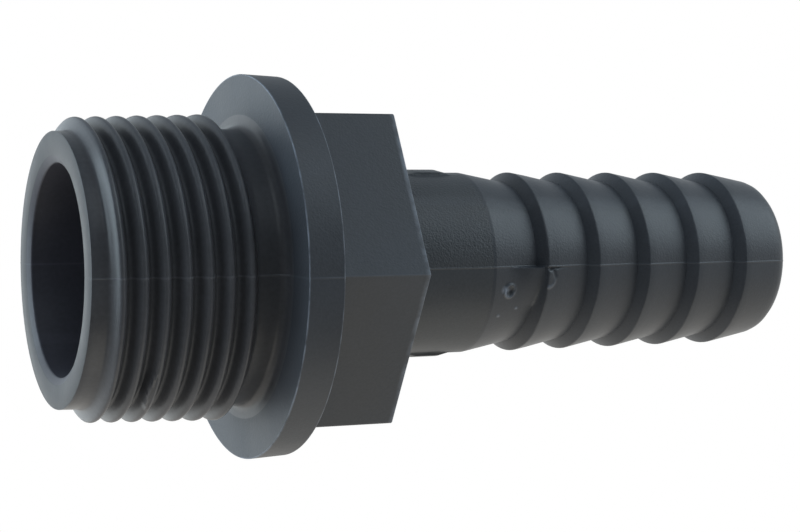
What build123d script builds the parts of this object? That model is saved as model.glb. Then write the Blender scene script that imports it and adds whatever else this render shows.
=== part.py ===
from build123d import *
import os
from math import atan, cos, degrees, radians, tan

# Hose barb tail: an injection-moulded pipe fitting in one piece. A tapered male pipe thread
# (R 3/4, ISO 7-1) seals at its flange, a hexagon takes the spanner, and a barbed tail takes a
# 16 mm hose. It stands on the thread's end face with +Z along the bore, towards the tail.
# The mould's parting plane is the YZ plane, so two corners of the hexagon point along Y.
# All sizes are in millimetres.

# Pipe thread, 14 threads to the inch, Whitworth form, taper 1 in 16 on diameter
THREAD_PITCH = 25.4 / 14
THREAD_GAUGE_DIAMETER = 26.441
THREAD_GAUGE_LENGTH = 8.0
THREAD_TAPER = 1 / 16
THREAD_FLANK_ANGLE = 27.5
THREAD_CREST_WIDTH = 0.36
THREAD_TURNS = 6.7
THREAD_FADE_TURNS = 0.25
THREAD_START_Z = 1.0
THREAD_START_ANGLE = 20.0

# Spigot that carries the thread
SPIGOT_LENGTH = 16.57
SPIGOT_EDGE_CHAMFER = 0.25
NECK_DIAMETER = 24.2
NECK_START_Z = 13.97
NECK_ROOT_BEVEL = 0.6

# Flange and hexagon
FLANGE_FRONT_DIAMETER = 33.9
FLANGE_BACK_DIAMETER = 33.6
FLANGE_THICKNESS = 3.2
HEX_ACROSS_FLATS = 27.0
HEX_LENGTH = 8.3
HEX_CORNER_FILLET = 0.35

# Hose tail
SHANK_DIAMETER = 16.65
SHANK_LENGTH = 9.9
PAD_START = 4.0  # plain raised pads on two sides of the shank, measured from the hexagon
PAD_LENGTH = 3.4
PAD_WIDTH = 4.0
PAD_HEIGHT = 0.28
LEAD_LENGTH = 4.45
BARB_COUNT = 5
BARB_PITCH = 5.33
BARB_CREST_DIAMETER = 16.8
BARB_ROOT_DIAMETER = 15.0
BARB_FACE_LENGTH = 0.85
BARB_CREST_BEVEL = 0.2
NOSE_SLOPE_LENGTH = 3.1
NOSE_SLOPE_DIAMETER = 15.55
NOSE_TIP_LENGTH = 2.25
NOSE_TIP_DIAMETER = 14.7
NOSE_TIP_FILLET = 1.45

# Bore: wide through the thread, a cone under the hexagon, narrow through the tail
INLET_BORE_DIAMETER = 18.2
INLET_BORE_DEPTH = 19.77
INLET_CHAMFER_WIDTH = 0.7
INLET_CHAMFER_DEPTH = 0.35
TAIL_BORE_DIAMETER = 11.0
BORE_CONE_LENGTH = 5.0

# Places along the axis, each from the sizes above
FLANGE_BACK_Z = SPIGOT_LENGTH + FLANGE_THICKNESS
HEX_BACK_Z = FLANGE_BACK_Z + HEX_LENGTH
SHANK_END_Z = HEX_BACK_Z + SHANK_LENGTH
FIRST_CREST_Z = SHANK_END_Z + LEAD_LENGTH + BARB_FACE_LENGTH
LAST_CREST_Z = FIRST_CREST_Z + (BARB_COUNT - 1) * BARB_PITCH
NOSE_SLOPE_END_Z = LAST_CREST_Z + NOSE_SLOPE_LENGTH
TOTAL_LENGTH = NOSE_SLOPE_END_Z + NOSE_TIP_LENGTH

# The thread's cone: its slope to the axis, and the radii of crest and root at the end face
TAPER_SLOPE = THREAD_TAPER / 2
THREAD_DEPTH = 0.640327 * THREAD_PITCH
CREST_RADIUS_AT_END = THREAD_GAUGE_DIAMETER / 2 - THREAD_GAUGE_LENGTH * TAPER_SLOPE
ROOT_RADIUS_AT_END = CREST_RADIUS_AT_END - THREAD_DEPTH
THREAD_SINK = 0.3  # how far the ridge's foot is sunk in the core, so that the two join


def turned(corners):
    """Solid turned about the bore's axis from (radius, z, reach) corners.

    A corner with a reach is broken by a flat that starts and ends that far from it.
    """
    places = [Vector(radius, z) for radius, z, _ in corners]
    outline = []
    for before, place, after, (_, _, reach) in zip(
        places[-1:] + places[:-1], places, places[1:] + places[:1], corners
    ):
        if reach:
            outline.append(place + (before - place).normalized() * reach)
            outline.append(place + (after - place).normalized() * reach)
        else:
            outline.append(place)
    return revolve(Plane.XZ * make_face(Polyline(*outline, close=True)), Axis.Z)


def spigot_corners():
    """Chamfered end, tapered core of the thread, the neck behind it and its bevelled root."""
    end_radius = ROOT_RADIUS_AT_END
    core_radius = end_radius + NECK_START_Z * TAPER_SLOPE
    return [
        (end_radius - SPIGOT_EDGE_CHAMFER, 0, 0),
        (end_radius, SPIGOT_EDGE_CHAMFER, 0),
        (core_radius, NECK_START_Z, 0),
        (NECK_DIAMETER / 2, NECK_START_Z, 0),
        (NECK_DIAMETER / 2, SPIGOT_LENGTH, NECK_ROOT_BEVEL),
    ]


def flange_corners():
    """Round sealing flange, whose rim has the mould's draft."""
    return [
        (FLANGE_FRONT_DIAMETER / 2, SPIGOT_LENGTH, 0),
        (FLANGE_BACK_DIAMETER / 2, FLANGE_BACK_Z, 0),
    ]


def shank_corners():
    """Hub inside the hexagon, and the plain shank."""
    hub_radius = 0.48 * HEX_ACROSS_FLATS
    return [
        (hub_radius, FLANGE_BACK_Z, 0),
        (hub_radius, HEX_BACK_Z, 0),
        (SHANK_DIAMETER / 2, HEX_BACK_Z, 0),
        (SHANK_DIAMETER / 2, SHANK_END_Z, 0),
    ]


def barb_corners(crest_z):
    """One barb: a steep face that holds the hose, up to a blunted crest."""
    return [
        (BARB_ROOT_DIAMETER / 2, crest_z - BARB_FACE_LENGTH, 0),
        (BARB_CREST_DIAMETER / 2, crest_z, BARB_CREST_BEVEL),
    ]


def nose_corners():
    """Slope behind the last crest, and the tip that enters the hose first."""
    return [
        (NOSE_SLOPE_DIAMETER / 2, NOSE_SLOPE_END_Z, 0),
        (NOSE_TIP_DIAMETER / 2, TOTAL_LENGTH, 0),
    ]


def turned_body():
    """Everything round outside, from the thread's core to the tip, with no bore yet."""
    corners = [(0, 0, 0)] + spigot_corners() + flange_corners() + shank_corners()
    for number in range(BARB_COUNT):
        corners += barb_corners(FIRST_CREST_Z + BARB_PITCH * number)
    body = turned(corners + nose_corners() + [(0, TOTAL_LENGTH, 0)])
    tip_edge = body.edges().filter_by(GeomType.CIRCLE).group_by(Axis.Z)[-1]
    return fillet(tip_edge, NOSE_TIP_FILLET)


def hexagon():
    """Spanner hexagon, with corners on the parting plane."""
    foot = SPIGOT_LENGTH + FLANGE_THICKNESS / 2
    outline = RegularPolygon(HEX_ACROSS_FLATS / 2, 6, major_radius=False, rotation=30)
    prism = extrude(Pos(0, 0, foot) * outline, HEX_BACK_Z - foot)
    return fillet(prism.edges().filter_by(Axis.Z), HEX_CORNER_FILLET)


def pads():
    """Low pads on the two sides of the shank that face away from the parting plane."""
    reach = SHANK_DIAMETER / 2 + PAD_HEIGHT
    room = Pos(0, 0, HEX_BACK_Z + PAD_START + PAD_LENGTH / 2)
    return room * (Box(2 * reach, PAD_WIDTH, PAD_LENGTH) & Cylinder(reach, PAD_LENGTH))


def helix(radius, z, turns, slope):
    """Edge of the thread's ridge: starts at radius and z, and widens by slope along the axis."""
    cone_angle = degrees(atan(slope))
    rise = THREAD_PITCH / cos(radians(cone_angle))
    return Edge.make_helix(rise, turns * THREAD_PITCH, radius, center=(0, 0, z), angle=cone_angle)


def ridge(z, turns, start_height, end_height):
    """A length of thread ridge from z, whose crest goes from one height over the root to another."""
    root_radius = ROOT_RADIUS_AT_END + z * TAPER_SLOPE
    crest_slope = TAPER_SLOPE + (end_height - start_height) / (turns * THREAD_PITCH)
    half_crest = THREAD_CREST_WIDTH / 2
    half_foot = half_crest + (THREAD_DEPTH + THREAD_SINK) * tan(radians(THREAD_FLANK_ANGLE))
    edges = [
        helix(root_radius - THREAD_SINK, z - half_foot, turns, TAPER_SLOPE),
        helix(root_radius + start_height, z - half_crest, turns, crest_slope),
        helix(root_radius + start_height, z + half_crest, turns, crest_slope),
        helix(root_radius - THREAD_SINK, z + half_foot, turns, TAPER_SLOPE),
    ]
    pairs = zip(edges, edges[1:] + edges[:1])
    sides = [Face.make_surface_from_curves(first, second) for first, second in pairs]
    ends = [Face(Wire.make_polygon([edge @ t for edge in edges], close=True)) for t in (0, 1)]
    return Solid(Shell(sides + ends))


def thread():
    """The helical ridge in three lengths: it runs in from the end face and sinks into the neck."""
    room = Cylinder(
        THREAD_GAUGE_DIAMETER, SPIGOT_LENGTH, align=(Align.CENTER, Align.CENTER, Align.MIN)
    )
    fade = THREAD_FADE_TURNS
    buried = -THREAD_SINK / 4
    lengths = (
        (0, fade, buried, THREAD_DEPTH),
        (fade, THREAD_TURNS, THREAD_DEPTH, THREAD_DEPTH),
        (fade + THREAD_TURNS, fade, THREAD_DEPTH, buried),
    )
    for turn, turns, start_height, end_height in lengths:
        piece = ridge(THREAD_START_Z + turn * THREAD_PITCH, turns, start_height, end_height)
        yield room & Rot(0, 0, THREAD_START_ANGLE + 360 * turn) * piece


def bore():
    """The way through: chamfered inlet, cone and tail bore, as one turned shape to cut away."""
    inlet_radius = INLET_BORE_DIAMETER / 2
    tail_radius = TAIL_BORE_DIAMETER / 2
    corners = [
        (0, 0, 0),
        (inlet_radius + INLET_CHAMFER_WIDTH, 0, 0),
        (inlet_radius, INLET_CHAMFER_DEPTH, 0),
        (inlet_radius, INLET_BORE_DEPTH, 0),
        (tail_radius, INLET_BORE_DEPTH + BORE_CONE_LENGTH, 0),
        (tail_radius, TOTAL_LENGTH, 0),
        (0, TOTAL_LENGTH, 0),
    ]
    return turned(corners)


def hose_barb_tail():
    """The whole moulding as one solid."""
    body = turned_body() + hexagon() + pads()
    for length in thread():
        body += length
    return body - bore()


os.makedirs("parts", exist_ok=True)
part = hose_barb_tail()
export_step(part, "parts/hose_barb_tail.step")
print("solids", len(part.solids()), "faces", len(part.faces()), "volume", round(part.volume))
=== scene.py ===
from math import atan2, cos, pi, radians, sin, sqrt, tan

import bpy
import numpy as np
from mathutils import Matrix, Vector


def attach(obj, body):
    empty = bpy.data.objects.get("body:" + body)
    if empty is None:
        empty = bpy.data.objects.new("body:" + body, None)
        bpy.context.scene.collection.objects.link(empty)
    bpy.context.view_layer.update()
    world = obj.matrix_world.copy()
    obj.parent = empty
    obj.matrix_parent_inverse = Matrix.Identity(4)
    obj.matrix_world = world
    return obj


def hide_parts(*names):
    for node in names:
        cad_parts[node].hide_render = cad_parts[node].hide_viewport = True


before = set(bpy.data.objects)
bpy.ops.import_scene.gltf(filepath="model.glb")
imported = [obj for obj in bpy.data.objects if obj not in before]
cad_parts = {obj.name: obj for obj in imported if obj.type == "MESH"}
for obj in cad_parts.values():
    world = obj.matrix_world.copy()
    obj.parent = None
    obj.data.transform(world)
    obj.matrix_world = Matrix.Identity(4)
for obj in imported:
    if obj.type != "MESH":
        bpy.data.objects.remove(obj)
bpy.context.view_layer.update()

MM = 0.001

# ---------------------------------------------------------------- sizes, in mm and degrees
# The threaded end is at z = 0 and the tail points to +Z. Angles go round +Z from +X.

PITCH = 25.4 / 14
GAUGE_RADIUS = 26.441 / 2       # radius of the crests at the gauge plane
GAUGE_Z = 8.0
TAPER = 1 / 32
THREAD_DEPTH = 1.162
ARC_RADIUS = 0.249              # of the round crests and roots
CREST_ARC = 0.2209              # distance from a crest at which its round part ends
ROOT_ARC = 0.686                # and at which the round part of the root starts
FLANK_SLOPE = 1.921
CREST_ANGLE = 176.26            # a crest passes through this angle and height
CREST_Z = 1.789
RIDGE_START_Z = 1.0
RIDGE_GROWS = (0.0, 0.3)        # turns from the start of the ridge
RIDGE_SINKS = (6.9, 7.25)
HELIX_LOW = 0.25                # the rows of the mesh follow the helix between these heights
HELIX_HIGH = 14.8
NECK_RADIUS = 12.1
NECK_STARTS = (13.5, 14.3)      # heights between which the cone of the roots turns into the neck

SPIGOT = 16.57
FLANGE_FRONT_RADIUS = 16.94     # the rim has draft
FLANGE_BACK_RADIUS = 16.79
FLANGE_BACK = SPIGOT + 3.2
FLANGE_SEAM_RADIUS = 16.948     # the seam stands no further out than this, inside the CAD box
HEX_HALF = 13.5                 # half the distance across the flats
HEX_CORNER = 0.3
HEX_LENGTH = 8.3
HEX_BACK = FLANGE_BACK + HEX_LENGTH
SHANK_RADIUS = 8.325
SHANK_END = HEX_BACK + 9.9
FIRST_CREST = SHANK_END + 5.3
BARBS = 5
BARB_PITCH = 5.33
BARB_FACE = 0.82
CREST_RADIUS = 8.4
VALLEY_RADIUS = 7.46
NOSE_SLOPE_END = FIRST_CREST + (BARBS - 1) * BARB_PITCH + 3.1
NOSE_SLOPE_RADIUS = 7.78
TIP = NOSE_SLOPE_END + 2.25
TIP_RADIUS = 7.35
TAIL_BORE_RADIUS = 5.5
TAIL_BORE_START = FLANGE_BACK + 5
INLET_RADIUS = 9.1
INLET_CHAMFER = 0.35
END_FACE = (9.8, 11.72)         # radii of the flat ring at the threaded end

SEAM_SIDES = (90, 270)
SEAM_HEIGHT = 0.04
SEAM_HALF = 0.11
PAD_SIDES = (0, 180)
PAD_Z = HEX_BACK + 5.7
PAD_HALF_WIDTH = 2.02
PAD_HALF_LENGTH = 1.72
PAD_HEIGHT = 0.28
PAD_EDGE = 0.12

FOLD_ANGLE = 318.5              # a leaf-shaped fold beside the third crest
FOLD_REACH = 12.5
FOLD_Z = 6.13
FOLD_WIDTH = 0.4
FOLD_HOLLOW = 0.11
FOLD_BLEND = 0.5


# ---------------------------------------------------------------- columns round the part
COLUMN_STEP = 2.0
FINE_COLUMNS = ((268.5, 305, 0.5), (305, 332, 1.0))       # start, end and step, at the gate and the fold
HEX_CORNERS = range(30, 360, 60)
NEAR_CORNER = (0.22, 0.45, 0.65, 1.0)
NEAR_PAD_EDGE = (13.2, 13.6, 14, 15)


def column_angles():
    """Angles of the columns, closer together where a form needs it."""
    angles = list(np.arange(0, 360, COLUMN_STEP))
    for corner in HEX_CORNERS:
        angles += [corner + way * off for off in NEAR_CORNER for way in (-1, 1)]
    for start, end, step in FINE_COLUMNS:
        angles += list(np.arange(start, end, step))
    for side in PAD_SIDES:
        angles += [side + way * off for off in NEAR_PAD_EDGE for way in (-1, 1)]
    return np.array(sorted({round(float(angle) % 360, 3) for angle in angles}))


theta = column_angles()
COLS = len(theta)


def smooth(x):
    """Smooth step: 0 up to x = 0, and 1 from x = 1."""
    x = np.clip(x, 0, 1)
    return x * x * (3 - 2 * x)


def rise(x, start, end):
    return smooth((x - start) / (end - start))


# ---------------------------------------------------------------- thread
points = []                     # angle, radius and height of each point
faces, zones = [], []
THREAD, GRAIN, BARB, BORE, SHANK, END = range(6)          # zones, in the order of the materials


def add_face(corners, zone):
    """Adds a face without its repeated corners, if it still has three."""
    kept = [c for k, c in enumerate(corners) if c != corners[k - 1]]
    if len(set(kept)) >= 3:
        faces.append(kept)
        zones.append(zone)


def add_ring(radii, z):
    """Adds a point in each column, and gives their numbers."""
    start = len(points)
    points.extend((angle, float(radius), float(z)) for angle, radius in zip(theta, radii))
    return list(range(start, start + COLS))


def whitworth(q):
    """Height over the root at a distance q along the axis from the crest."""
    q = np.abs(q)
    crest = THREAD_DEPTH - ARC_RADIUS + np.sqrt(np.maximum(ARC_RADIUS**2 - q**2, 0))
    drop = ARC_RADIUS - sqrt(ARC_RADIUS**2 - CREST_ARC**2)
    flank = THREAD_DEPTH - drop - FLANK_SLOPE * (q - CREST_ARC)
    back = PITCH / 2 - q
    root = ARC_RADIUS - np.sqrt(np.maximum(ARC_RADIUS**2 - np.minimum(back, ARC_RADIUS)**2, 0))
    return np.where(q < CREST_ARC, crest, np.where(q < ROOT_ARC, flank, root))


def fold(angle, q):
    """The ridge at the fold: it is wider on the left, with a shallow hollow in the widened part."""
    wide = FOLD_WIDTH * max(1 - ((angle - FOLD_ANGLE) / FOLD_REACH) ** 2, 0)
    left = -q
    if left <= 0 or wide < 0.01:
        return whitworth(q)
    if left < wide:
        middle = 1 - ((left - wide / 2) / (wide / 2)) ** 2
        return THREAD_DEPTH - FOLD_HOLLOW * middle * min(wide / 0.3, 1)
    return whitworth(left - wide * (1 - smooth((left - wide) / FOLD_BLEND)))


def thread_radius(angle, z):
    at = CREST_Z + PITCH * (angle - CREST_ANGLE) / 360
    crest_z = at + np.round((z - at) / PITCH) * PITCH
    turn = (crest_z - RIDGE_START_Z) / PITCH
    size = rise(turn, *RIDGE_GROWS) * (1 - rise(turn, *RIDGE_SINKS))
    form = whitworth(z - crest_z)
    if abs(angle - FOLD_ANGLE) < FOLD_REACH and abs(crest_z - FOLD_Z) < PITCH / 2:
        form = fold(angle, z - crest_z)
    root = GAUGE_RADIUS - THREAD_DEPTH + (z - GAUGE_Z) * TAPER
    return root + (NECK_RADIUS - root) * rise(z, *NECK_STARTS) + form * size


# rows of points run along the helix, each at its own distance over a crest
half_turn = [0, 0.11, CREST_ARC, 0.38, 0.53, ROOT_ARC, 0.79]
phases = half_turn + [PITCH / 2] + [PITCH - q for q in reversed(half_turn[1:])]
PER_PITCH = len(phases)
MERGE = 0.02                    # a point this close to the end of the helical part is on its end ring
lowest_crest = CREST_Z - PITCH * CREST_ANGLE / 360
while lowest_crest > HELIX_LOW - PITCH:
    lowest_crest -= PITCH


def row_height(i, angle=0.0):
    return lowest_crest + PITCH * (i // PER_PITCH) + phases[i % PER_PITCH] + PITCH * angle / 360


THREAD_ROWS = 1
while row_height(THREAD_ROWS - 1) < HELIX_HIGH:
    THREAD_ROWS += 1

low_ring = add_ring([thread_radius(angle, HELIX_LOW) for angle in theta], HELIX_LOW)
high_ring = add_ring([thread_radius(angle, HELIX_HIGH) for angle in theta], HELIX_HIGH)
ids = np.zeros((THREAD_ROWS, COLS), int)
for i in range(THREAD_ROWS):
    for j, angle in enumerate(theta):
        z = row_height(i, angle)
        if z < HELIX_LOW + MERGE:
            ids[i, j] = low_ring[j]
        elif z > HELIX_HIGH - MERGE:
            ids[i, j] = high_ring[j]
        else:
            ids[i, j] = len(points)
            points.append((angle, float(thread_radius(angle, z)), z))


def thread_id(i, j):
    """Point in row i and column j. After a full turn a row goes on as the row one pitch above."""
    if j == COLS:
        i, j = i + PER_PITCH, 0
    if i < 0:
        return low_ring[j]
    if i >= THREAD_ROWS:
        return high_ring[j]
    return ids[i, j]


for i in range(-PER_PITCH, THREAD_ROWS):
    for j in range(COLS):
        below = [thread_id(i, j), thread_id(i, j + 1)]
        add_face(below + [thread_id(i + 1, j + 1), thread_id(i + 1, j)], THREAD)


# ---------------------------------------------------------------- rings
ARC_STEP = radians(18)
PLAIN_STEP, SHANK_STEP, BORE_STEP = 1.4, 1.2, 5.0


def arc(before, corner, after, fillet):
    """Points of the arc that rounds a corner between two other points."""
    before, after = before - corner, after - corner
    before /= np.linalg.norm(before)
    after /= np.linalg.norm(after)
    half = np.arccos(np.clip(before @ after, -1, 1)) / 2
    reach = fillet / tan(half)
    middle = corner + (before + after) / np.linalg.norm(before + after) * fillet / sin(half)
    start, end = corner + before * reach - middle, corner + after * reach - middle
    sweep = pi - 2 * half
    pieces = max(2, int(round(sweep / ARC_STEP)))
    shares = [k / pieces for k in range(pieces + 1)]
    return [middle + (start * sin((1 - t) * sweep) + end * sin(t * sweep)) / sin(sweep) for t in shares]


def outline_points(corners, step):
    """Points along a line of (radius, z, fillet) corners. A straight piece is cut into steps, whose
    length depends on the height of its middle."""
    spots = [np.array([r, z], float) for r, z, _ in corners]
    line = []
    for k, (_, _, fillet) in enumerate(corners):
        if fillet:
            line += arc(spots[k - 1], spots[k], spots[k + 1], fillet)
        else:
            line.append(spots[k])
    full = [line[0]]
    for a, b in zip(line, line[1:]):
        length = np.linalg.norm(b - a)
        if length > 1e-6:
            pieces = max(1, int(np.ceil(length / step((a[1] + b[1]) / 2))))
            full += [a + (b - a) * k / pieces for k in range(1, pieces + 1)]
    return full


def hexagon(half):
    """Radius of the rounded hexagon in every column, for half the distance across its flats."""
    off = np.radians((theta - HEX_CORNERS[0]) % 60)
    off = np.where(off > pi / 6, pi / 3 - off, off)       # angle from the nearest corner
    centre = (half - HEX_CORNER) / cos(pi / 6)
    rounded = atan2(HEX_CORNER * 0.5, centre + HEX_CORNER * cos(pi / 6))
    across = np.maximum(HEX_CORNER**2 - (centre * np.sin(off))**2, 0)
    return np.where(off < rounded, centre * np.cos(off) + np.sqrt(across), half / np.cos(pi / 6 - off))


def tail_step(z):
    """The rows are close together where the gate's marks are."""
    return 0.14 if 38.4 < z < 44.9 else 1.0


rings = []                      # radii, height, and zone of the faces before the ring


def round_rings(corners, zone, step=lambda z: PLAIN_STEP):
    for r, z in outline_points(corners, step):
        rings.append((np.full(COLS, r), z, zone))


def spigot_rings():
    round_rings([(NECK_RADIUS, 15.2, 0), (NECK_RADIUS, SPIGOT, 0.75), (13.4, SPIGOT, 0)], THREAD)


def flange_rings():
    edge, draft = 0.13, 0.006   # extra rings close to both edges keep the light line on them narrow
    round_rings(
        [
            (13.6, SPIGOT, 0), (16.8, SPIGOT, 0), (FLANGE_FRONT_RADIUS, SPIGOT, 0.06),
            (FLANGE_FRONT_RADIUS - draft, SPIGOT + edge, 0),
            (FLANGE_BACK_RADIUS + draft, FLANGE_BACK - edge, 0),
            (FLANGE_BACK_RADIUS, FLANGE_BACK, 0.06), (16.2, FLANGE_BACK, 0),
        ],
        GRAIN,
    )


def hex_rings():
    foot = ((-0.22, 0), (-0.09, 0.03), (-0.02, 0.12), (0, 0.25))
    flats = tuple((0, z) for z in (1.7, 3.3, 4.9, 6.5, 7.8, 8.2))
    back_edge = ((0.012, 8.25), (0.04, 8.285), (0.1, HEX_LENGTH))
    back = tuple((inset, HEX_LENGTH) for inset in (0.5, 1.6, 2.8))
    for inset, z in foot + flats + back_edge + back:
        rings.append((hexagon(HEX_HALF - inset), FLANGE_BACK + z, GRAIN))


def shank_rings():
    round_rings(
        [(9.6, HEX_BACK, 0), (SHANK_RADIUS, HEX_BACK, 0.3), (SHANK_RADIUS, SHANK_END - 0.3, 0)],
        SHANK, lambda z: SHANK_STEP,
    )


def tail_rings():
    blunt = 0.03
    past_disc = (8.146, 44.49, 0)                         # the close rows of the disc end here
    corners = [(SHANK_RADIUS, SHANK_END - 0.25, 0), (SHANK_RADIUS, SHANK_END, 0.5)]
    for number in range(BARBS):
        crest = FIRST_CREST + number * BARB_PITCH
        corners.append((VALLEY_RADIUS, crest - BARB_FACE, 0))
        corners.append((CREST_RADIUS - blunt, crest - blunt, 0.18))
        if number == 0:
            corners.append(past_disc)
    corners += [(NOSE_SLOPE_RADIUS, NOSE_SLOPE_END, 1.5), (TIP_RADIUS, TIP, 1.35), (6.0, TIP, 0)]
    round_rings(corners, BARB, tail_step)


def bore_rings():
    round_rings(
        [
            (5.9, TIP, 0), (TAIL_BORE_RADIUS, TIP - 0.3, 0), (TAIL_BORE_RADIUS, TAIL_BORE_START, 1.5),
            (INLET_RADIUS, FLANGE_BACK, 0.5), (INLET_RADIUS, INLET_CHAMFER, 0.2), (9.72, 0.03, 0),
        ],
        BORE, lambda z: BORE_STEP,
    )


def end_rings():
    inner, outer = END_FACE
    round_rings([(inner, 0.0, 0), (outer, 0.0, 0), (outer + 0.1, 0.04, 0)], END)


for part_rings in (spigot_rings, flange_rings, hex_rings, shank_rings, tail_rings, bore_rings, end_rings):
    part_rings()

ring_ids = [high_ring] + [add_ring(radii, z) for radii, z, _ in rings] + [low_ring]
ring_zones = [zone for _, _, zone in rings] + [THREAD]
for lower, upper, zone in zip(ring_ids, ring_ids[1:], ring_zones):
    for j in range(COLS):
        after = (j + 1) % COLS
        add_face([lower[j], lower[after], upper[after], upper[j]], zone)


# ---------------------------------------------------------------- relief
angle, radius, height = np.array(points, float).T
in_inlet = (radius < 9.6) & (height < 25)
outside = (radius > 7.0) & ~in_inlet


def arc_from(at):
    """Distance round the surface from an angle, in mm."""
    return np.radians((angle - at + 180) % 360 - 180) * radius


def dome(distance, reach):
    """1 at no distance, and 0 from the reach outward."""
    return smooth(1 - distance / reach)


def seams():
    return sum(SEAM_HEIGHT * dome(np.abs(arc_from(side)), SEAM_HALF) for side in SEAM_SIDES)


def pads():
    """Plain low pads on two sides of the shank."""
    along = smooth((PAD_HALF_LENGTH - np.abs(height - PAD_Z)) / PAD_EDGE)
    across = sum(smooth((PAD_HALF_WIDTH - np.abs(arc_from(side))) / PAD_EDGE) for side in PAD_SIDES)
    return PAD_HEIGHT * along * across


def gate_stub():
    """It fills the first valley beside the seam, and less and less away from it."""
    seam_end, far_end = 270.2, 306
    low_end, high_end = 38.8, 43.02
    radius_at_seam, fall, over = 8.15, 0.7, 36            # it is 0.7 mm lower 36 degrees further on
    softness = 0.1
    level = radius_at_seam - (angle - seam_end) * fall / over
    ends = smooth((angle - seam_end) / 0.6) * smooth((far_end - angle) / 12)
    ends = ends * smooth((height - low_end) / 3.0) * smooth((high_end - height) / 0.1)
    return ends * softness * np.logaddexp(0, (level - radius) / softness)


def gate_disc():
    """Relief and brightness of the small disc beside the stub. Its rim stands up on the low side, and a
    painted highlight lies on the rim there.
    """
    middle_angle, middle_z, stub_end_z = 277.2, 43.34, 43.2
    half_width, half_length = 0.95, 0.74
    rim_height, face_height, brightness = 0.08, 0.04, 1.6
    across, along = arc_from(middle_angle), height - middle_z
    distance = np.hypot(across / half_width, along / half_length)
    past_stub = height > stub_end_z
    rim = dome(np.abs(distance - 0.9), 0.32) * past_stub
    face = smooth((0.8 - distance) / 0.3) * past_stub
    low_side = np.cos(np.arctan2(across, along) - 1.3)
    # the brightness is a painted highlight on the raised part of the rim
    form = rim_height * rim * np.tanh(4 * (low_side - 0.35)) + face_height * face
    return form, brightness * rim * np.maximum(low_side, 0) ** 3


def wedge():
    """Wedge-shaped dent between the seam and the disc."""
    seam_edge, far_edge = 270.5, 272.6
    middle_z, half_length, depth = 43.95, 0.7, 0.13
    along = height - middle_z
    width = smooth((angle - seam_edge) / 0.4) * smooth((far_edge - along - angle) / 1.2)
    return -depth * smooth((half_length - np.abs(along)) / 0.25) * width


def crater():
    """Relief and brightness of the crater in the cone before the barbs. Its rim has a painted highlight,
    stronger on one side, and its bottom and a spot beside it are lighter.
    """
    middle_angle, middle_z = 285.8, 39.62
    half_width, half_length, depth = 0.6, 0.5, 0.14
    across, along = arc_from(middle_angle), height - middle_z
    distance = np.hypot(across / half_width, along / half_length)
    rim = dome(np.abs(distance - 1.0), 0.4)
    # painted highlight on the rim, stronger on one side
    light_side = 0.55 + 0.45 * np.cos(np.arctan2(along, -across) - 3.6)
    bottom = dome(np.hypot(across + 0.05, along + 0.15), 0.3)
    beside = dome(np.hypot((across + 0.15) / 0.5, (along + 0.62) / 0.4), 1.0)
    form = depth * rim - depth * dome(distance, 0.8)
    return form, 2.6 * rim * light_side + 2.2 * bottom + 2.0 * beside


SPECKS = ((299.2, 40.74, 1.95), (303.3, 38.92, 1.95), (302.0, 37.4, 1.2))   # angle, height, brightness
SPECK_REACH = 0.24
SPECK_HEIGHT = 0.06


def specks():
    """Relief and brightness of the specks round the crater."""
    form, light = 0, 0
    for at, z, brightness in SPECKS:
        speck = dome(np.hypot(arc_from(at), height - z), SPECK_REACH)
        form = form + SPECK_HEIGHT * speck
        light = light + brightness * speck
    return form, light


disc_form, disc_light = gate_disc()
crater_form, crater_light = crater()
speck_form, speck_light = specks()
relief = seams() + pads() + gate_stub() + disc_form + wedge() + crater_form + speck_form
room = np.where(radius > 16, np.maximum(FLANGE_SEAM_RADIUS - radius, 0), 1.0)
radius = np.where(outside, radius + np.minimum(relief, room), radius)

coords = np.c_[radius * np.cos(np.radians(angle)), radius * np.sin(np.radians(angle)), height] * MM
mesh = bpy.data.meshes.new("hose_tail")
mesh.from_pydata([tuple(c) for c in coords], [], faces)
mesh.update()


# ---------------------------------------------------------------- painted highlights: light lines on the edges, and lighter marks at the gate
EDGE_HIGHLIGHT = 1.2


def near_height(z, reach):
    return np.abs(height - z) < reach


hex_share = radius / np.interp(angle, theta, hexagon(HEX_HALF), period=360)
hex_edge = near_height(HEX_BACK - 0.05, 0.07) & (hex_share > 0.99)
front_edge = near_height(SPIGOT + 0.03, 0.06) & (radius > FLANGE_FRONT_RADIUS - 0.09)
back_edge = near_height(FLANGE_BACK - 0.03, 0.06) & (radius > FLANGE_BACK_RADIUS - 0.09)
edge_highlights = EDGE_HIGHLIGHT * (hex_edge | front_edge | back_edge)
# A point attribute carries these painted edge highlights, the painted highlights on the rims of the disc
# and the crater, and the lighter spots of the crater and the specks.
highlights_and_light_spots = mesh.attributes.new("highlights_and_light_spots", "FLOAT", "POINT")
highlights_and_light_spots.data.foreach_set("value", (edge_highlights + disc_light + crater_light + speck_light).astype(np.float32))
hose_tail = bpy.data.objects.new("hose_tail", mesh)
bpy.context.scene.collection.objects.link(hose_tail)


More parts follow.
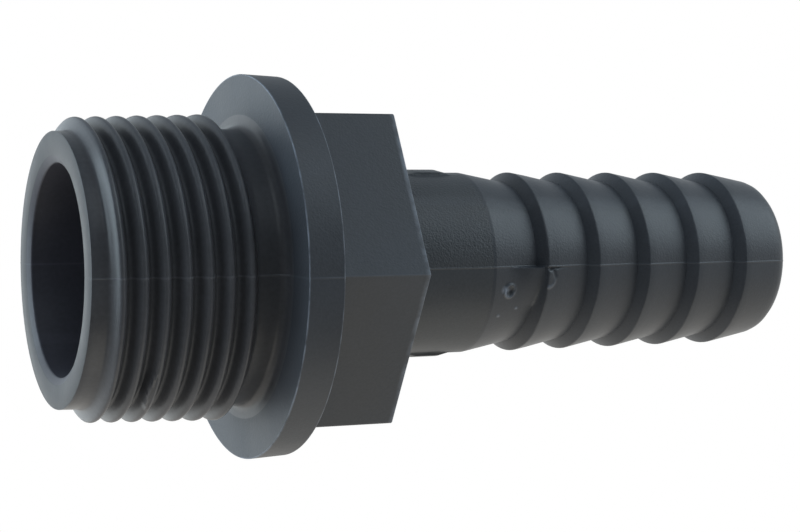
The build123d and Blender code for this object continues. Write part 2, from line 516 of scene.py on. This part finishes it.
# ---------------------------------------------------------------- materials
class Nodes:
    """Short way to add nodes and links to a tree."""

    def __init__(self, tree):
        self.tree = tree
        tree.nodes.clear()

    def add(self, kind, values=(), **settings):
        node = self.tree.nodes.new(kind)
        for name, value in settings.items():
            setattr(node, name, value)
        for name, value in dict(values).items():
            self.put(node.inputs[name], value)
        return node

    def put(self, socket, value):
        if isinstance(value, bpy.types.NodeSocket):
            self.tree.links.new(value, socket)
        else:
            socket.default_value = value

    def math(self, operation, a, b=0.0, clamp=False):
        return self.add("ShaderNodeMath", {0: a, 1: b}, operation=operation, use_clamp=clamp).outputs[0]

    def remap(self, value, low, high, to_low, to_high):
        ends = {"From Min": low, "From Max": high, "To Min": to_low, "To Max": to_high}
        return self.add("ShaderNodeMapRange", {"Value": value, **ends}).outputs[0]

    def noise(self, place, scale, detail):
        values = {"Vector": place, "Scale": scale, "Detail": detail}
        return self.add("ShaderNodeTexNoise", values).outputs["Fac"]

    def mix(self, factor, first, second, **settings):
        """Mix of two colours. Sockets 6 and 7 are the colours of a node of this data type."""
        node = self.add("ShaderNodeMix", {"Factor": factor}, data_type="RGBA", **settings)
        self.put(node.inputs[6], first)
        self.put(node.inputs[7], second)
        return node.outputs[2]


BUMP_DEPTH = 0.0001             # metres
CLOUD_SCALE = 160.0
FLOW_SCALE = 700.0
FLOW_HEIGHT = 0.12
HALVES_MEET = 0.00005           # metres on either side of the parting plane
SEAM_LINE = (0.00004, 0.00012)
SEAM_LIGHT = 0.35
EDGE_LIGHT = 0.12
# reach and levels of the painted shade in hollows
PAINTED_SHADE_REACH = 0.0012
PAINTED_SHADE_CLOSED = 0.35
MIDDLE_NOISE = (0.3, 0.7)       # a noise seldom leaves this range


def plastic(name, base, rough, grains, scale=2600.0, shade_in=0.5, shine_in=0.35, open_at=0.95, gloss=0.4):
    """Moulded plastic. Its grain has one strength on the +X half of the mould and another on the -X half.
    Painted shade: in cavities, found by ambient occlusion, its tone and its gloss go down to the shares
    shade_in and shine_in."""
    material = bpy.data.materials.new(name)
    material.use_nodes = True
    n = Nodes(material.node_tree)
    place = n.add("ShaderNodeTexCoord").outputs["Object"]
    x = n.add("ShaderNodeSeparateXYZ", {0: place}).outputs["X"]
    noise = n.noise(place, scale, 3.0)
    cells = n.add("ShaderNodeTexVoronoi", {"Vector": place, "Scale": scale * 1.2}).outputs["Distance"]
    cloud = n.noise(place, CLOUD_SCALE, 4.0)
    flow = n.noise(place, FLOW_SCALE, 3.0)

    other_half = n.remap(x, HALVES_MEET, -HALVES_MEET, 0.0, 1.0)
    grain = n.math("ADD", noise, n.math("MULTIPLY", cells, 0.5))
    grain = n.math("MULTIPLY", grain, n.remap(other_half, 0.0, 1.0, *grains))
    heights = n.math("ADD", grain, n.math("MULTIPLY", flow, FLOW_HEIGHT))
    bump = n.add("ShaderNodeBump", {"Height": heights, "Strength": 1.0, "Distance": BUMP_DEPTH})

    seam = n.remap(n.math("ABSOLUTE", x), *SEAM_LINE, 1.0, 0.0)
    # Painted highlights: convex edges, found by pointiness, and the edges and gate marks in the point
    # attribute are made lighter; the seam line is lighter too.
    convex = n.add("ShaderNodeNewGeometry").outputs["Pointiness"]
    painted_edge_light = n.remap(convex, 0.52, 0.62, 0.0, EDGE_LIGHT)
    highlights_and_spots = n.add("ShaderNodeAttribute", attribute_name="highlights_and_light_spots").outputs["Fac"]
    highlights_and_spots = n.math("MULTIPLY", highlights_and_spots, n.remap(flow, 0.35, 0.65, 0.4, 2.6))
    marks = n.math("ADD", n.math("ADD", painted_edge_light, highlights_and_spots), n.math("MULTIPLY", seam, SEAM_LIGHT))

    # Painted shade: where ambient occlusion finds a hollow, the tone and the gloss are lowered.
    painted_shade_ao = n.add("ShaderNodeAmbientOcclusion", {"Distance": PAINTED_SHADE_REACH}, samples=8).outputs["AO"]
    painted_shade = n.remap(painted_shade_ao, PAINTED_SHADE_CLOSED, open_at, shade_in, 1.0)
    shine = n.remap(painted_shade_ao, PAINTED_SHADE_CLOSED, open_at, shine_in * gloss, gloss)
    blotches = n.remap(cloud, *MIDDLE_NOISE, 0.9, 1.1)
    speckle = n.remap(noise, *MIDDLE_NOISE, 0.92, 1.08)
    tone = n.math("ADD", n.math("MULTIPLY", blotches, speckle), marks)
    tone = n.math("MULTIPLY", tone, painted_shade)
    colour = n.mix(1.0, (*base, 1.0), tone, blend_type="MULTIPLY")
    roughness = n.math("ADD", rough, n.remap(cloud, *MIDDLE_NOISE, -0.04, 0.04))
    look = {"Base Color": colour, "Roughness": roughness, "Normal": bump.outputs[0]}
    shader = n.add("ShaderNodeBsdfPrincipled", {**look, "IOR": 1.49, "Specular IOR Level": shine})
    n.add("ShaderNodeOutputMaterial", {"Surface": shader.outputs[0]})
    return material


CHARCOAL = (0.036, 0.042, 0.052)
# One plastic all over: the shank, thread and bore copies of the charcoal are lighter as painted light, for
# how brightly these zones are lit.
SHANK_PAINTED_LIGHTER = (0.045, 0.051, 0.059)
THREAD_PAINTED_LIGHTER = (0.056, 0.059, 0.067)
BORE_PAINTED_LIGHTER = (0.046, 0.047, 0.06)
materials = {
    THREAD: plastic("thread_plastic", THREAD_PAINTED_LIGHTER, 0.33, (0.01, 0.01), shade_in=1.0, shine_in=0.08,
                    open_at=0.78, gloss=0.24),
    GRAIN: plastic("grained_plastic", CHARCOAL, 0.5, (0.10, 0.16), 4200.0, shade_in=0.85, shine_in=0.6),
    BARB: plastic("barb_plastic", CHARCOAL, 0.4, (0.07, 0.2), 4600.0, shade_in=0.75),
    BORE: plastic("bore_plastic", BORE_PAINTED_LIGHTER, 0.45, (0.02, 0.02), shade_in=0.8, shine_in=0.6),
    SHANK: plastic("shank_plastic", SHANK_PAINTED_LIGHTER, 0.47, (0.09, 0.36), 4600.0, shade_in=1.0),
    END: plastic("end_plastic", CHARCOAL, 0.42, (0.02, 0.02), gloss=0.66),
}
for zone in sorted(materials):
    mesh.materials.append(materials[zone])
mesh.polygons.foreach_set("material_index", np.array(zones, np.int32))
mesh.polygons.foreach_set("use_smooth", np.ones(len(faces), bool))
mesh.set_sharp_from_angle(angle=radians(38))
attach(hose_tail, "root")
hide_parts("hose_barb_tail")


# ---------------------------------------------------------------- camera, as in the photograph
RIGHT = Vector((-0.00651134, -0.41587813, 0.90939704))
UP = Vector((-0.99822115, 0.05659934, 0.01873623))
TOWARD = Vector((-0.05926326, -0.90765737, -0.41550689))
CAMERA_AT = Vector((-10.302, -161.321, -41.554)) * MM
camera = bpy.data.objects.new("camera", bpy.data.cameras.new("camera"))
camera.data.lens = 87.236
camera.data.sensor_width = 36.0
camera.data.clip_start = 0.001
axes = Matrix((RIGHT, UP, TOWARD)).transposed().to_4x4()
camera.matrix_world = Matrix.Translation(CAMERA_AT) @ axes
bpy.context.scene.collection.objects.link(camera)
bpy.context.scene.camera = camera


# ---------------------------------------------------------------- light
WARM = (1.0, 0.965, 0.9, 1.0)
COOL = (0.84, 0.93, 1.0, 1.0)
ROOM_LEVEL = 0.16
TENT_LEVEL = 0.8                # more than the room, behind the part


def light_world():
    """The world is white to the camera. To the part the room in front is dim, and the tent and the
    table behind are white lower down."""
    world = bpy.data.worlds.new("world")
    bpy.context.scene.world = world
    world.use_nodes = True
    n = Nodes(world.node_tree)
    path = n.add("ShaderNodeLightPath")
    seen = n.math("ADD", path.outputs["Is Camera Ray"], path.outputs["Is Transmission Ray"], clamp=True)
    way = n.add("ShaderNodeTexCoord").outputs["Generated"]

    def facing(direction):
        """How far a ray of the world goes towards a direction, from -1 to 1."""
        ends = {0: way, 1: tuple(direction)}
        return n.add("ShaderNodeVectorMath", ends, operation="DOT_PRODUCT").outputs["Value"]

    behind = n.remap(facing(TOWARD), 0.0, 0.6, 1.0, 0.0)
    low_down = n.remap(facing(UP), 0.1, 0.8, 1.0, 0.25)
    tent = n.math("MULTIPLY", behind, n.math("MULTIPLY", low_down, TENT_LEVEL))
    tint = n.mix(n.remap(facing(UP), -0.6, 0.6, 0.0, 1.0), WARM, COOL)
    level = n.math("ADD", tent, ROOM_LEVEL)
    room = n.add("ShaderNodeBackground", {"Color": tint, "Strength": level})
    white = n.add("ShaderNodeBackground", {"Color": (1.0, 1.0, 1.0, 1.0), "Strength": 1.0})
    mixed = n.add("ShaderNodeMixShader", {0: seen, 1: room.outputs[0], 2: white.outputs[0]})
    n.add("ShaderNodeOutputWorld", {"Surface": mixed.outputs[0]})


AIM = Vector((0, 0, 34 * MM))
LAMP_DISTANCE = 0.5
# the two low lamps stand half under the floor, so they light only the part
part_only = bpy.data.collections.new("lit_by_low_lamps")
part_only.objects.link(hose_tail)


def lamp(name, direction, size, power, colour, shine=True, low=False):
    """Round lamp that shines at the part. Without shine, no reflection shows it."""
    light = bpy.data.lights.new(name, "AREA")
    light.shape = "DISK"
    light.size = size
    light.energy = power
    light.color = colour
    thing = bpy.data.objects.new(name, light)
    thing.location = AIM + direction.normalized() * LAMP_DISTANCE
    thing.rotation_euler = (-direction).to_track_quat("-Z", "Y").to_euler()
    thing.visible_camera = False
    thing.visible_glossy = shine
    if low:
        thing.light_linking.receiver_collection = part_only
    bpy.context.scene.collection.objects.link(thing)


light_world()
lamp("cool_lamp", RIGHT * 0.8 + UP * 0.55, 0.42, 1.04, (0.78, 0.92, 1.0))
lamp("warm_lamp", -UP + TOWARD * 0.3 + RIGHT * 0.2, 0.4, 0.46, (1.0, 0.965, 0.85), low=True)
lamp("top_lamp", UP + TOWARD * 0.8 + RIGHT * 0.2, 0.4, 0.5, (0.84, 0.93, 1.0), low=True)
lamp("left_lamp", -RIGHT * 0.93 + UP * 0.13 + TOWARD * 0.07, 0.4, 2.3, (0.74, 0.9, 1.0))
lamp("back_lamp", -RIGHT - TOWARD, 0.5, 0.4, (0.78, 0.92, 1.0))
lamp("soft_lamp", RIGHT * -0.735 - UP * 0.02 + TOWARD * 0.677, 0.3, 0.55, (0.82, 0.92, 1.0), shine=False)
lamp("brown_lamp", RIGHT * 0.47 + UP * 0.87 + TOWARD * 0.06, 0.05, 0.03, (1.0, 0.8, 0.55))


# ---------------------------------------------------------------- floor
def floor_material():
    """Pale and matt. Only a camera above it sees it: from below, and to all other rays, it is clear."""
    material = bpy.data.materials.new("floor")
    material.use_nodes = True
    n = Nodes(material.node_tree)
    path = n.add("ShaderNodeLightPath")
    below = n.add("ShaderNodeNewGeometry").outputs["Backfacing"]
    shown = n.math("MULTIPLY", path.outputs["Is Camera Ray"], n.math("SUBTRACT", 1.0, below))
    clear = n.add("ShaderNodeBsdfTransparent")
    matt = n.add("ShaderNodeBsdfDiffuse", {"Color": (0.8, 0.8, 0.8, 1.0)})
    mixed = n.add("ShaderNodeMixShader", {0: shown, 1: clear.outputs[0], 2: matt.outputs[0]})
    n.add("ShaderNodeOutputMaterial", {"Surface": mixed.outputs[0]})
    return material


bpy.ops.mesh.primitive_plane_add(size=3.0)
floor = bpy.context.object
floor.name = "floor"
floor.data.materials.append(floor_material())

bpy.context.scene.view_settings.view_transform = "Standard"
